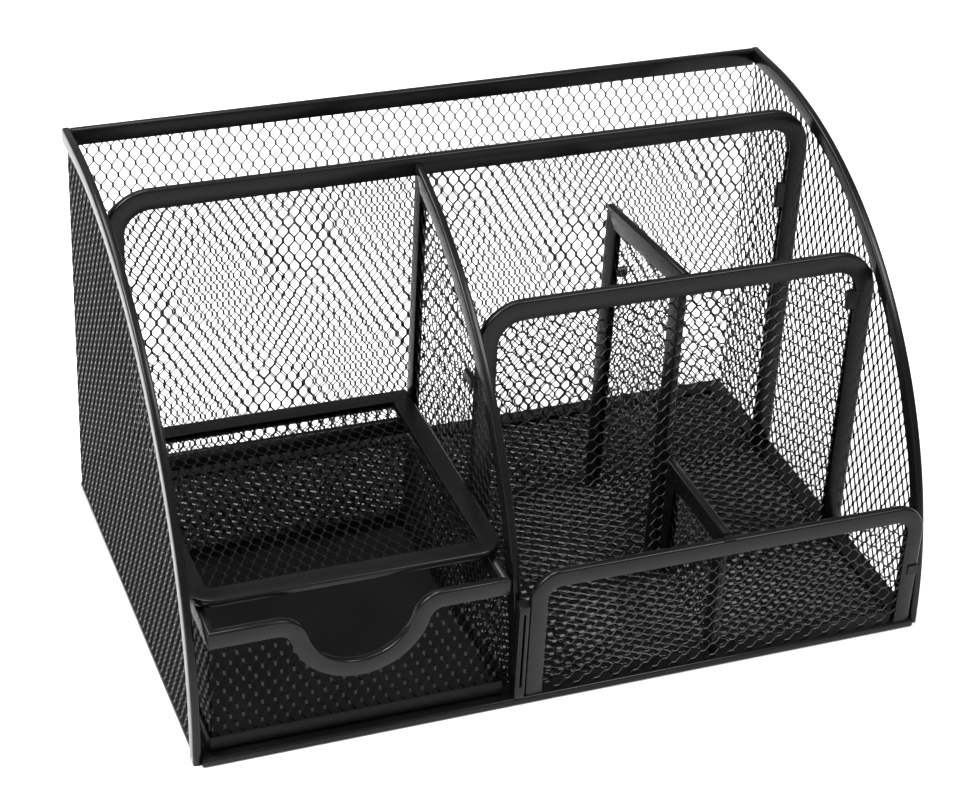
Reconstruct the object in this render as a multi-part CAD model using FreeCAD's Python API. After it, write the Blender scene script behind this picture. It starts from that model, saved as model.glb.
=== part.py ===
import FreeCAD, Part
import math
import os

# Desk organizer of expanded steel mesh: curved sides, a rear slot, a flat shelf over a drawer,
# and four pen bays. Millimetres, +Z up, front towards -Y, origin on the desk under the middle.

V = FreeCAD.Vector

# Whole stand
width = 220.0
depth = 140.0
height = 124.0
curve_radius = 124.0
curve_setback = 1.5

# Sheet and folded edging
mesh_thickness = 0.8
fold_thickness = 2.4
overrun = 10.0
fit_gap = 0.15

# Openings of the mesh, drawn at a coarser pitch than the real diamonds
diamond_length = 45.0
diamond_width = 25.0
strand_width = 1.9
smallest_opening_share = 0.2

# Base
base_band = 6.0
mesh_lift = 0.4
pad_lift = 0.2

# Bands of edging, measured in the plane of each sheet
side_band = 4.2
back_band = 5.0
panel_band = 6.0
lower_band = 5.0
divider_band = 5.0
pen_divider_band = 6.0
shelf_band = 6.0
drawer_band = 5.0

# Cross panels
rear_slot_depth = 37.7
middle_drop = 1.0
pen_bay_depth = 47.1
upper_drop = 23.0
panel_corner = 13.5
lower_front_setback = 0.5
lower_top = 43.8
lower_corner = 9.0
lower_right_gap = 1.2
lower_left_gap = 0.6

# Dividers
drawer_bay_width = 91.3
pen_divider_skew = 1.8
rear_divider_fall = 1.4
front_divider_rise = 1.2
front_divider_fall = 5.5

# Foot clip of the centre divider
clip_wall = 0.4
clip_height = 31.6
clip_depth = 4.0

# Shelf over the drawer
shelf_top = 45.6
shelf_setback = 12.5
shelf_corner = 7.5

# Drawer
drawer_side_gap = 2.4
drawer_float = 0.3
drawer_front_setback = 3.0
drawer_rear_gap = 9.3
drawer_top = 42.4
pan_wall = 0.8
pan_lip = 4.8
scoop_depth = 18.0
scoop_radius = 15.3
shoulder_radius = 9.0

# Hooked tabs
tab_thickness = 1.6
tab_width = 3.2
tab_length = 8.0
short_tab_length = 6.0
thin_tab = 0.45
divider_tab_drop = 18.4
middle_tab_drop = 28.5
upper_tab_drop = 15.5
pen_tab_drop = 24.3
lower_tab_drop = 22.6

# Worked-out places
front_y = -depth / 2
back_y = depth / 2
lip = (fold_thickness - mesh_thickness) / 2
curve_front_y = front_y + curve_setback
curve_centre_y = curve_front_y + curve_radius
curve_centre_z = height - curve_radius
middle_top = height - middle_drop
upper_top = height - upper_drop
side_inner_x = width / 2 - lip - mesh_thickness
edging_inner_x = width / 2 - fold_thickness
back_inner_y = back_y - lip - mesh_thickness
base_top = fold_thickness
middle_rear_y = back_inner_y - rear_slot_depth
middle_front_y = middle_rear_y - fold_thickness
upper_rear_y = middle_front_y - pen_bay_depth
upper_front_y = upper_rear_y - fold_thickness
lower_front_y = front_y + lower_front_setback
lower_rear_y = lower_front_y + fold_thickness
divider_x = -side_inner_x + drawer_bay_width + mesh_thickness / 2
divider_left_x = divider_x - fold_thickness / 2
divider_right_x = divider_x + fold_thickness / 2
bay_middle_x = (divider_right_x + edging_inner_x) / 2
shelf_left_x = -edging_inner_x + fit_gap
shelf_right_x = divider_left_x - fit_gap
shelf_front = shelf_setback - depth / 2
drawer_left_x = -edging_inner_x + drawer_side_gap
drawer_right_x = divider_left_x - drawer_side_gap
drawer_front_y = front_y + drawer_front_setback
drawer_rear_y = middle_front_y - drawer_rear_gap
drawer_depth = drawer_rear_y - drawer_front_y
drawer_bottom = base_top + drawer_float


def closed_face(edges):
    """Flat face inside a ring of edges."""
    return Part.Face(Part.Wire(Part.__sortEdges__(edges)))


def polygon(points):
    """Flat face with straight sides through (u, v) points."""
    corners = [V(u, v, 0) for u, v in points]
    return Part.Face(Part.makePolygon(corners + corners[:1]))


def rectangle(u0, u1, v0, v1):
    """Upright rectangle."""
    return polygon([(u0, v0), (u1, v0), (u1, v1), (u0, v1)])


def arch(u0, u1, v0, v1, radius):
    """Rectangle whose two top corners are rounded."""
    side = radius / math.sqrt(2)
    left = V(u0 + radius, v1 - radius, 0)
    right = V(u1 - radius, v1 - radius, 0)
    edges = [
        Part.LineSegment(V(u0, v0, 0), V(u0, left.y, 0)),
        Part.Arc(V(u0, left.y, 0), left + V(-side, side, 0), V(left.x, v1, 0)),
        Part.LineSegment(V(left.x, v1, 0), V(right.x, v1, 0)),
        Part.Arc(V(right.x, v1, 0), right + V(side, side, 0), V(u1, right.y, 0)),
        Part.LineSegment(V(u1, right.y, 0), V(u1, v0, 0)),
        Part.LineSegment(V(u1, v0, 0), V(u0, v0, 0)),
    ]
    return closed_face([edge.toShape() for edge in edges])


def curve_height(y, inset):
    """Height of the side curve, drawn in by inset, over a place y."""
    radius = curve_radius - inset
    reach = max(curve_centre_y - y, 0)
    return curve_centre_z + math.sqrt(radius ** 2 - reach ** 2)


def curve_start(z, inset):
    """Place y where the side curve, drawn in by inset, stands at height z."""
    radius = curve_radius - inset
    rise = max(z - curve_centre_z, 0)
    return curve_centre_y - math.sqrt(radius ** 2 - rise ** 2)


def curved_side(rear_y, bottom_z, inset):
    """Face under the side curve, from the front to rear_y, in (y, z)."""
    radius = curve_radius - inset
    top_y = min(curve_centre_y, rear_y)
    start = V(curve_start(bottom_z, inset), bottom_z, 0)
    end = V(top_y, curve_height(top_y, inset), 0)
    low = V(start.x, max(bottom_z, curve_centre_z), 0)
    low_angle = math.atan2(low.y - curve_centre_z, curve_centre_y - low.x)
    high_angle = math.atan2(end.y - curve_centre_z, curve_centre_y - end.x)
    mid_angle = (low_angle + high_angle) / 2
    reach = radius * math.cos(mid_angle)
    middle = V(curve_centre_y - reach, curve_centre_z + radius * math.sin(mid_angle), 0)
    corners = [end, V(rear_y, end.y, 0), V(rear_y, bottom_z, 0), start, low]
    edges = [Part.Arc(low, middle, end).toShape()]
    for first, second in zip(corners, corners[1:]):
        if first.distanceToPoint(second) > fit_gap / 10:
            edges.append(Part.makeLine(first, second))
    return closed_face(edges)


def wave(u0, u1, v0, v1, inset):
    """Drawer front whose top dips in a finger scoop; inset draws the top line down and in."""
    centre = (drawer_left_x + drawer_right_x) / 2
    low = scoop_radius + inset
    high = shoulder_radius - inset
    dip_z = drawer_top - scoop_depth + scoop_radius
    shoulder_z = drawer_top - shoulder_radius
    spread = scoop_radius + shoulder_radius
    half = math.sqrt(spread ** 2 - (dip_z - shoulder_z) ** 2)
    turn = math.atan2(dip_z - shoulder_z, half)
    edges = []
    for side in (-1, 1):
        shoulder = V(centre + side * half, shoulder_z, 0)
        join = shoulder + V(-side * high * math.cos(turn), high * math.sin(turn), 0)
        mid_turn = (turn + math.pi / 2) / 2
        crown = shoulder + V(-side * high * math.cos(mid_turn), high * math.sin(mid_turn), 0)
        top = V(shoulder.x, shoulder_z + high, 0)
        end = u0 if side < 0 else u1
        edges.append(Part.Arc(join, crown, top).toShape())
        edges.append(Part.makeLine(top, V(end, v1, 0)))
        edges.append(Part.makeLine(V(end, v1, 0), V(end, v0, 0)))
    left_join = V(centre - low * math.cos(turn), dip_z - low * math.sin(turn), 0)
    right_join = V(centre + low * math.cos(turn), dip_z - low * math.sin(turn), 0)
    edges.append(Part.Arc(left_join, V(centre, dip_z - low, 0), right_join).toShape())
    edges.append(Part.makeLine(V(u0, v0, 0), V(u1, v0, 0)))
    return closed_face(edges)


def diamonds(region, tall):
    """Openings of the mesh, fitted in whole and half rows to a region; tall stands them on end."""
    box = region.BoundBox
    nominal_u, nominal_v = (diamond_width, diamond_length) if tall else (diamond_length, diamond_width)
    columns = max(1, round(box.XLength / nominal_u))
    rows = max(1, round(box.YLength / nominal_v))
    half_u = box.XLength / columns / 2
    half_v = box.YLength / rows / 2
    share = 1 - strand_width / 2 * math.hypot(half_u, half_v) / (half_u * half_v)
    a = share * half_u
    b = share * half_v
    faces = []
    for i in range(-columns, columns + 1):
        for j in range(-rows, rows + 1):
            if (i + j) % 2 == 0:
                u = box.Center.x + i * half_u
                v = box.Center.y + j * half_v
                faces.append(polygon([(u - a, v), (u, v - b), (u + a, v), (u, v + b)]))
    cut = region.common(Part.makeCompound(faces))
    smallest = smallest_opening_share * 2 * a * b
    return [face.OuterWire for face in cut.Faces if face.Area > smallest]


def sheet(outline, region, tall=True):
    """Mesh sheet: the outline with openings inside the region, one mesh thickness deep, lip above zero."""
    face = Part.makeFace([outline.OuterWire] + diamonds(region, tall), "Part::FaceMakerBullseye")
    return face.extrude(V(0, 0, mesh_thickness)).translated(V(0, 0, lip))


def edging(outline, region, sheet_outline):
    """Folded strip round a sheet: the band between outline and region, grooved for the sheet."""
    band = outline.cut(region).Faces[0].extrude(V(0, 0, fold_thickness))
    groove = sheet_outline.extrude(V(0, 0, mesh_thickness)).translated(V(0, 0, lip))
    return band.cut(groove)


def facing_front(shape, rear_y):
    """Stands a flat shape up across the stand, its thickness reaching forward from rear_y."""
    turned = FreeCAD.Placement(V(0, rear_y, 0), FreeCAD.Rotation(V(1, 0, 0), V(0, 0, 1), V(0, -1, 0), "XYZ"))
    return shape.transformed(turned.toMatrix())


def facing_side(shape, left_x):
    """Stands a flat (y, z) shape up along the stand, its thickness reaching right from left_x."""
    turned = FreeCAD.Placement(V(left_x, 0, 0), FreeCAD.Rotation(V(0, 1, 0), V(0, 0, 1), V(1, 0, 0), "XYZ"))
    return shape.transformed(turned.toMatrix())


def between(shape, front, rear):
    """Stands a shape on the line from front to rear, both (x, y), its thickness centred on the line."""
    along = V(rear[0] - front[0], rear[1] - front[1], 0).normalize()
    outward = V(along.y, -along.x, 0)
    base = V(front[0], front[1], 0) - outward * (fold_thickness / 2)
    turned = FreeCAD.Placement(base, FreeCAD.Rotation(along, V(0, 0, 1), outward, "XYZ"))
    return shape.transformed(turned.toMatrix())


def base_parts():
    """Floor of mesh in a folded rim that the stand rests on, and the thin pad under the mesh."""
    x = side_inner_x
    outline = rectangle(-x, x, front_y, back_inner_y)
    inner = rectangle(-x + base_band, x - base_band, front_y + base_band, back_inner_y - base_band)
    floor = rectangle(-x + lip, x - lip, front_y + lip, back_inner_y - lip)
    reach = base_band + fit_gap
    pad = rectangle(-x + reach, x - reach, front_y + reach, back_inner_y - reach)
    pad = pad.extrude(V(0, 0, lip - pad_lift)).translated(V(0, 0, pad_lift))
    return sheet(floor, inner, tall=False), edging(outline, inner, floor), pad


def side_parts():
    """Curved side: its sheet and the folded strip along the curve."""
    outline = curved_side(back_y, 0, 0)
    inner = curved_side(back_y + overrun, -overrun, side_band)
    panel = curved_side(back_y - lip, mesh_lift, lip)
    visible = curved_side(back_inner_y, base_top, side_band)
    return sheet(panel, visible), edging(outline, inner, panel)


def back_parts():
    """Back: its sheet and the strip along its top."""
    x = side_inner_x
    panel = rectangle(-x, x, mesh_lift, height - lip)
    visible = rectangle(-x, x, base_top, height - back_band)
    outline = rectangle(-edging_inner_x, edging_inner_x, height - back_band, height)
    groove = rectangle(-width, width, mesh_lift, height - lip)
    band = outline.extrude(V(0, 0, fold_thickness))
    slot = groove.extrude(V(0, 0, mesh_thickness)).translated(V(0, 0, lip))
    inset_visible = rectangle(-x + strand_width, x - strand_width, base_top, height - back_band)
    return sheet(panel, visible.common(inset_visible).Faces[0]), band.cut(slot)


def arched_parts(u0, u1, top, corner, band, tall):
    """Cross panel on the base with rounded top corners: sheet and folded strip."""
    outline = arch(u0, u1, base_top, top, corner)
    inner = arch(u0 + band, u1 - band, base_top - overrun, top - band, corner - band)
    panel = arch(u0 + lip, u1 - lip, base_top, top - lip, corner - lip)
    visible = arch(u0 + band, u1 - band, base_top + strand_width, top - band, corner - band)
    return sheet(panel, visible, tall), edging(outline, inner, panel)


def centre_divider_parts():
    """Divider between the drawer and the pen bays: follows the side curve up to the middle panel."""
    rear = middle_front_y - fit_gap
    outline = curved_side(rear, base_top, 0)
    inner = curved_side(rear - divider_band, base_top - overrun, divider_band)
    panel = curved_side(rear - lip, base_top, lip)
    visible = curved_side(rear - divider_band, base_top + strand_width, divider_band)
    return sheet(panel, visible), edging(outline, inner, panel)


def pen_divider_parts(length, front_top, rear_top, band):
    """Small divider between two cross panels: sheet and the strip over its two ends and its top."""
    def quad(inset, foot):
        slope = (rear_top - front_top) / length
        near = front_top - inset * (1 - slope)
        far = rear_top - inset * (1 + slope)
        return polygon([(inset, foot), (length - inset, foot), (length - inset, far), (inset, near)])

    outline = quad(0, base_top)
    inner = quad(band, base_top - overrun)
    panel = quad(lip, base_top)
    visible = quad(band, base_top + strand_width)
    return sheet(panel, visible), edging(outline, inner, panel)


def clip_part():
    """Folded clip round the foot of the centre divider's front edge."""
    half = fold_thickness / 2
    outer = half + clip_wall
    block = Part.makeBox(2 * outer, clip_depth, clip_height, V(divider_x - outer, front_y, base_top))
    hollow = Part.makeBox(2 * half, clip_depth, clip_height,
                          V(divider_x - half, front_y + clip_wall, base_top))
    return block.cut(hollow)


def shelf_parts():
    """Flat mesh shelf over the drawer: sheet and the strip all round it, with round front corners."""
    rear = fit_gap - middle_front_y
    outline = arch(shelf_left_x, shelf_right_x, rear, -shelf_front, shelf_corner)
    inner = arch(shelf_left_x + shelf_band, shelf_right_x - shelf_band, rear + shelf_band,
                 -shelf_front - shelf_band, shelf_corner - shelf_band)
    panel = arch(shelf_left_x + lip, shelf_right_x - lip, rear + lip, -shelf_front - lip, shelf_corner - lip)
    face_down = FreeCAD.Rotation(V(1, 0, 0), V(0, -1, 0), V(0, 0, -1), "XYZ")
    turned = FreeCAD.Placement(V(0, 0, shelf_top), face_down).toMatrix()
    return sheet(panel, inner).transformed(turned), edging(outline, inner, panel).transformed(turned)


def drawer_pan():
    """Plain sheet floor of the drawer with its edge turned up outside the mesh walls."""
    size = V(drawer_right_x - drawer_left_x, drawer_depth, pan_lip)
    block = Part.makeBox(size.x, size.y, size.z, V(drawer_left_x, drawer_front_y, drawer_bottom))
    hollow = Part.makeBox(size.x - 2 * pan_wall, size.y - 2 * pan_wall, pan_lip,
                          V(drawer_left_x + pan_wall, drawer_front_y + pan_wall, drawer_bottom + pan_wall))
    return block.cut(hollow)


def drawer_front_parts():
    """Drawer front: sheet with the finger scoop and the strip that follows it."""
    u0 = drawer_left_x + pan_wall
    u1 = drawer_right_x - pan_wall
    foot = drawer_bottom + pan_wall
    band_z = drawer_top - drawer_band
    panel = wave(u0, u1, foot, drawer_top - lip, lip)
    visible = wave(u0 + strand_width, u1 - strand_width, drawer_bottom + pan_lip, band_z, drawer_band)
    outline = wave(drawer_left_x, drawer_right_x, foot, drawer_top, 0)
    below = wave(drawer_left_x - overrun, drawer_right_x + overrun, foot - overrun, band_z, drawer_band)
    return sheet(panel, visible), edging(outline, below, panel)


def drawer_wall_parts(u0, u1, strip_u0, strip_u1):
    """Straight drawer wall: sheet and the strip along its top."""
    foot = drawer_bottom + pan_wall
    band_z = drawer_top - drawer_band
    panel = rectangle(u0, u1, foot, drawer_top - lip)
    visible = rectangle(u0 + strand_width, u1 - strand_width, drawer_bottom + pan_lip, band_z)
    outline = rectangle(strip_u0, strip_u1, band_z, drawer_top)
    groove = rectangle(strip_u0 - overrun, strip_u1 + overrun, foot, drawer_top - lip)
    slot = groove.extrude(V(0, 0, mesh_thickness)).translated(V(0, 0, lip))
    return sheet(panel, visible), outline.extrude(V(0, 0, fold_thickness)).cut(slot)


def tab(x0, x1, y0, y1, z0, z1):
    """Small folded tab with its long edges broken."""
    size = V(x1 - x0, y1 - y0, z1 - z0)
    block = Part.makeBox(size.x, size.y, size.z, V(x0, y0, z0))
    longest = max(size.x, size.y, size.z)
    long_edges = [edge for edge in block.Edges if abs(edge.Length - longest) < fit_gap]
    return block.makeChamfer(min(size.x, size.y, size.z) / 4, long_edges)


def tab_parts(rear_line, front_line):
    """Hooked tabs that hold the panels and dividers to the sheets they meet."""
    divider_face = divider_x - mesh_thickness / 2
    middle_face = middle_front_y + lip
    upper_face = upper_front_y + lip
    upper_mid = (upper_rear_y + upper_front_y) / 2
    leg_x = side_inner_x - fit_gap - panel_band
    rear_x = rear_line[1][0] + fold_thickness / 2 + fit_gap
    end_x = front_line[0][0]
    lower_x = edging_inner_x - lower_right_gap
    divider_z = curve_height(upper_mid, 0) - divider_tab_drop
    middle_z = middle_top - middle_tab_drop
    upper_z = upper_top - upper_tab_drop
    pen_z = upper_top - rear_divider_fall - pen_tab_drop
    lower_z = lower_top - lower_tab_drop
    half = tab_length / 2
    short = short_tab_length / 2
    across = tab_width / 2
    return [
        tab(divider_face - tab_thickness, divider_face, upper_mid - short_tab_length, upper_mid,
            divider_z - across, divider_z + across),
        tab(leg_x - tab_width, leg_x, middle_face - tab_thickness, middle_face,
            middle_z - half, middle_z + half),
        tab(leg_x - tab_width, leg_x, upper_face - tab_thickness, upper_face,
            upper_z - short, upper_z + short),
        tab(rear_x, rear_x + short_tab_length, middle_face - tab_thickness, middle_face,
            pen_z - across, pen_z + across),
        tab(lower_x - tab_width, lower_x + lower_right_gap / 2, lower_front_y - thin_tab, lower_front_y,
            lower_z - across, lower_z + across),
        tab(end_x - across, end_x + across, lower_front_y, lower_rear_y - fit_gap,
            lower_top, lower_top + thin_tab),
    ]


def build():
    """All pieces of the stand by name."""
    pieces = {}
    pieces["base_mesh"], frame, pieces["base_pad"] = base_parts()
    side_sheet, side_strip = side_parts()
    pieces["left_side_mesh"] = facing_side(side_sheet, -width / 2)
    pieces["left_side_edging"] = facing_side(side_strip, -width / 2)
    pieces["right_side_mesh"] = facing_side(side_sheet, edging_inner_x)
    pieces["right_side_edging"] = facing_side(side_strip, edging_inner_x)
    pieces["base_frame"] = frame.cut([pieces["left_side_edging"], pieces["right_side_edging"]])
    back_sheet, back_strip = back_parts()
    back_sheet = facing_front(back_sheet, back_y)
    pieces["back_mesh"] = back_sheet.cut([pieces["left_side_edging"], pieces["right_side_edging"]])
    pieces["back_edging"] = facing_front(back_strip, back_y)

    wall_x = side_inner_x - fit_gap
    panel_sheet, panel_strip = arched_parts(-wall_x, wall_x, middle_top, panel_corner, panel_band, True)
    pieces["middle_panel_mesh"] = facing_front(panel_sheet, middle_rear_y)
    pieces["middle_panel_edging"] = facing_front(panel_strip, middle_rear_y)
    divider_sheet, divider_strip = centre_divider_parts()
    pieces["centre_divider_mesh"] = facing_side(divider_sheet, divider_left_x)
    pieces["centre_divider_edging"] = facing_side(divider_strip, divider_left_x)
    pieces["divider_foot_clip"] = clip_part()
    panel_sheet, panel_strip = arched_parts(
        divider_right_x + fit_gap, wall_x, upper_top, panel_corner, panel_band, False)
    pieces["upper_front_mesh"] = facing_front(panel_sheet, upper_rear_y)
    pieces["upper_front_edging"] = facing_front(panel_strip, upper_rear_y)
    panel_sheet, panel_strip = arched_parts(
        divider_right_x + lower_left_gap, edging_inner_x - lower_right_gap,
        lower_top, lower_corner, lower_band, False)
    pieces["lower_front_mesh"] = facing_front(panel_sheet, lower_rear_y)
    pieces["lower_front_edging"] = facing_front(panel_strip, lower_rear_y)

    rear_line = ((bay_middle_x + pen_divider_skew, upper_rear_y + 2 * fit_gap),
                 (bay_middle_x - pen_divider_skew, middle_front_y - 2 * fit_gap))
    front_line = ((bay_middle_x - pen_divider_skew, lower_rear_y + 2 * fit_gap),
                  (bay_middle_x + pen_divider_skew, upper_front_y - 2 * fit_gap))
    front_divider_top = lower_top + front_divider_rise
    for name, line, front_top, rear_top in (
            ("rear_divider", rear_line, upper_top, upper_top - rear_divider_fall),
            ("front_divider", front_line, front_divider_top, front_divider_top - front_divider_fall)):
        length = math.dist(line[0], line[1])
        small_sheet, small_strip = pen_divider_parts(length, front_top, rear_top, pen_divider_band)
        pieces[name + "_mesh"] = between(small_sheet, line[0], line[1])
        pieces[name + "_edging"] = between(small_strip, line[0], line[1])
    pieces["hooked_tabs"] = Part.makeCompound(tab_parts(rear_line, front_line))
    pieces["shelf_mesh"], pieces["shelf_edging"] = shelf_parts()

    pieces["drawer_pan"] = drawer_pan()
    wall_offset = pan_wall - lip
    front_sheet, front_strip = drawer_front_parts()
    front_rear_y = drawer_front_y + wall_offset + fold_thickness
    pieces["drawer_front_mesh"] = facing_front(front_sheet, front_rear_y)
    pieces["drawer_front_edging"] = facing_front(front_strip, front_rear_y)
    inner_x0 = drawer_left_x + pan_wall
    inner_x1 = drawer_right_x - pan_wall
    wall_sheet, wall_strip = drawer_wall_parts(inner_x0, inner_x1, drawer_left_x, drawer_right_x)
    pieces["drawer_back_mesh"] = facing_front(wall_sheet, drawer_rear_y - wall_offset)
    pieces["drawer_back_edging"] = facing_front(wall_strip, drawer_rear_y - wall_offset)
    inner_y0 = drawer_front_y + pan_wall + mesh_thickness
    inner_y1 = drawer_rear_y - pan_wall - mesh_thickness
    back_front_y = drawer_rear_y - wall_offset - fold_thickness
    wall_sheet, wall_strip = drawer_wall_parts(inner_y0, inner_y1, front_rear_y, back_front_y)
    end_strips = [pieces["drawer_front_edging"], pieces["drawer_back_edging"]]
    for side, left_x in (("left", drawer_left_x + wall_offset),
                         ("right", drawer_right_x - wall_offset - fold_thickness)):
        wall = facing_side(wall_sheet, left_x)
        pieces["drawer_" + side + "_mesh"] = wall.cut(end_strips)
        pieces["drawer_" + side + "_edging"] = facing_side(wall_strip, left_x)
    return pieces


os.makedirs("parts", exist_ok=True)
for name, shape in build().items():
    shape.exportStep("parts/" + name + ".step")
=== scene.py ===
"""Dresses the desk organizer: black expanded steel mesh bound in folded steel strip."""
import logging
import math
from contextlib import contextmanager
from dataclasses import dataclass, field
from enum import Enum
from typing import Callable, Iterator, Sequence

import bmesh
import bpy
from mathutils import Matrix, Vector


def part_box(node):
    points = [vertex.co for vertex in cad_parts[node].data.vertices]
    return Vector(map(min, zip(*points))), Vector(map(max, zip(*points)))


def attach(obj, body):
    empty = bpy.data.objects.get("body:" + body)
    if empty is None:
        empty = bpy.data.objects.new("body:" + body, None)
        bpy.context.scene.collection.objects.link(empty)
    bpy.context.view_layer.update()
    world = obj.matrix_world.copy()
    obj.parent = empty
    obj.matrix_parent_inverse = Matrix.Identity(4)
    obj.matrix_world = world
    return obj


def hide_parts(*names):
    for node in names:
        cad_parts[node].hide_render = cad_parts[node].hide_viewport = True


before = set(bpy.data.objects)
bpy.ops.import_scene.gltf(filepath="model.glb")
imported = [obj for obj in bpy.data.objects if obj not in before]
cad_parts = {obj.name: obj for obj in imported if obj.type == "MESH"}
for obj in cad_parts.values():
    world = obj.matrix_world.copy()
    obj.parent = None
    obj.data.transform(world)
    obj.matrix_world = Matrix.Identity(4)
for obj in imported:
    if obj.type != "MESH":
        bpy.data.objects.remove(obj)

MM = 0.001
MERGE = 0.004 * MM
ON_PLANE = MERGE / 4
EDGE_BREAKS_IN_GAUGE = 5
RAW_EDGE_ANGLE = 50
FOLD_ANGLE = 35

Piece = bpy.types.Object
Tree = bpy.types.NodeTree

log = logging.getLogger("organizer")


class Body(Enum):
    """The two bodies that pieces ride on."""

    STAND = "stand"
    DRAWER = "drawer"


class Slot(Enum):
    """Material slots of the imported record."""

    EDGING = "edging"
    MESH = "mesh"
    PAN = "pan"
    # The slot of the black sheet under the base mesh, which keeps what shows through its openings
    # dark.
    PAD = "pad"


class Lay(Enum):
    """How a sheet is cut from the stock: the way that its diamonds point, in degrees.

    A half turn makes the bonds lean the other way, which opens or closes the mesh to an eye that
    looks at a slant.
    """

    LEVEL = 0
    UPRIGHT = 90
    UPRIGHT_TURNED = 270

    @property
    def upright(self) -> bool:
        """Whether the diamonds stand on end."""
        return self is not Lay.LEVEL

    @property
    def backwards(self) -> tuple[bool, bool]:
        """Whether the turned stock is laid out towards smaller u, and towards smaller v."""
        return self is Lay.UPRIGHT, self is Lay.UPRIGHT_TURNED


# Editing

def deselect_all() -> None:
    """Deselects every object."""
    if bpy.context.object is not None and bpy.context.object.mode != "OBJECT":
        bpy.ops.object.mode_set(mode="OBJECT")
    bpy.ops.object.select_all(action="DESELECT")


def activate(piece: Piece) -> None:
    """Selects one object alone and makes it the active one.

    Args:
        piece: The object.
    """
    deselect_all()
    piece.select_set(True)
    bpy.context.view_layer.objects.active = piece


def square(name: str, size: float = 1, place: Sequence[float] = (0, 0, 0)) -> Piece:
    """Adds a flat square.

    Args:
        name: The piece's name.
        size: The length of a side.
        place: Its middle.

    Returns:
        The square.
    """
    deselect_all()
    bpy.ops.mesh.primitive_plane_add(size=size, location=place)
    bpy.context.object.name = name
    return bpy.context.object


@contextmanager
def editing(piece: Piece, kind: str = "VERT") -> Iterator[None]:
    """Holds a piece in edit mode.

    Args:
        piece: The mesh object to edit.
        kind: VERT, EDGE or FACE.
    """
    activate(piece)
    bpy.ops.object.mode_set(mode="EDIT")
    bpy.ops.mesh.select_mode(type=kind)
    yield
    bpy.ops.object.mode_set(mode="OBJECT")


def pick(piece: Piece, kind: str, test: Callable[[Vector], bool]) -> None:
    """Selects vertices, edges or faces of a piece in edit mode by their place.

    Args:
        piece: The object in edit mode.
        kind: VERT, EDGE or FACE; an edge is picked by both ends and a face by its middle.
        test: Says whether a place is wanted.
    """
    bpy.ops.mesh.select_mode(type=kind)
    bpy.ops.mesh.select_all(action="DESELECT")
    mesh = bmesh.from_edit_mesh(piece.data)
    if kind == "VERT":
        wanted = [item for item in mesh.verts if test(item.co)]
    elif kind == "EDGE":
        wanted = [item for item in mesh.edges if all(test(end.co) for end in item.verts)]
    else:
        wanted = [item for item in mesh.faces if test(item.calc_center_median())]
    for item in wanted:
        item.select_set(True)
    bmesh.update_edit_mesh(piece.data)


def modify(piece: Piece, kind: str, **settings: object) -> None:
    """Adds one modifier to a piece and applies it.

    Args:
        piece: The object to change.
        kind: The modifier's type.
        settings: Its settings by name.
    """
    activate(piece)
    modifier = piece.modifiers.new(kind.title(), kind)
    for name, value in settings.items():
        setattr(modifier, name, value)
    bpy.ops.object.modifier_apply(modifier=modifier.name)


def settle(piece: Piece) -> None:
    """Applies a piece's place to its mesh."""
    activate(piece)
    bpy.ops.object.transform_apply(location=True, rotation=True, scale=True)


def moved(piece: Piece, matrix: Matrix) -> Piece:
    """Moves a piece and leaves its object at the origin.

    Args:
        piece: The object.
        matrix: The move.

    Returns:
        The same object.
    """
    piece.matrix_world = matrix @ piece.matrix_world
    settle(piece)
    return piece


def joined(pieces: Sequence[Piece]) -> Piece:
    """Joins pieces into the first one.

    Args:
        pieces: The objects, one or more.

    Returns:
        The first object, with the others in its mesh.
    """
    deselect_all()
    for piece in pieces:
        piece.select_set(True)
    bpy.context.view_layer.objects.active = pieces[0]
    if len(pieces) > 1:
        bpy.ops.object.join()
    return pieces[0]


def welded(piece: Piece) -> Piece:
    """Merges a piece's doubles and turns its faces outwards.

    Args:
        piece: The object.

    Returns:
        The same object.
    """
    with editing(piece):
        bpy.ops.mesh.select_all(action="SELECT")
        bpy.ops.mesh.remove_doubles(threshold=MERGE)
        bpy.ops.mesh.normals_make_consistent(inside=False)
    return piece


def cut_selected(point: Vector, outward: Vector, keep: bool = False) -> None:
    """Cuts what is selected in edit mode along a plane.

    Args:
        point: A place on the plane.
        outward: The side that goes.
        keep: Leaves that side, so that only the seam is new.
    """
    bpy.ops.mesh.bisect(plane_co=point, plane_no=outward, clear_outer=not keep, threshold=ON_PLANE)


def cut(point: Vector, outward: Vector, keep: bool = False) -> None:
    """Cuts all of the piece in edit mode along a plane, as cut_selected does."""
    bpy.ops.mesh.select_all(action="SELECT")
    cut_selected(point, outward, keep)


def smoothed(piece: Piece, angle: float = 40.0) -> Piece:
    """Shades a piece smooth where its faces meet under an angle.

    Args:
        piece: The object.
        angle: The angle in degrees.

    Returns:
        The same object.
    """
    activate(piece)
    bpy.ops.object.shade_smooth_by_angle(angle=math.radians(angle))
    return piece


def folded_steel(piece: Piece, gauge: float) -> Piece:
    """Gives a folded skin the thickness of its steel, inwards, and breaks its raw edges.

    Args:
        piece: The skin.
        gauge: The steel's thickness.

    Returns:
        The piece, shaded smooth along its folds.
    """
    modify(piece, "SOLIDIFY", thickness=gauge, offset=-1, use_even_offset=True)
    modify(piece, "BEVEL", width=gauge / EDGE_BREAKS_IN_GAUGE, segments=2, limit_method="ANGLE",
           angle_limit=math.radians(RAW_EDGE_ANGLE))
    return smoothed(piece, FOLD_ANGLE)


# Places

@dataclass(frozen=True)
class Extent:
    """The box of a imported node, in metres."""

    low: Vector
    high: Vector

    @classmethod
    def of(cls, node: str) -> "Extent":
        """Reads a node's box from the frame."""
        low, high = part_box(node)
        return cls(low, high)

    @property
    def centre(self) -> Vector:
        """The middle of the box."""
        return (self.low + self.high) / 2

    @property
    def size(self) -> Vector:
        """The lengths of the box."""
        return self.high - self.low


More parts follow.
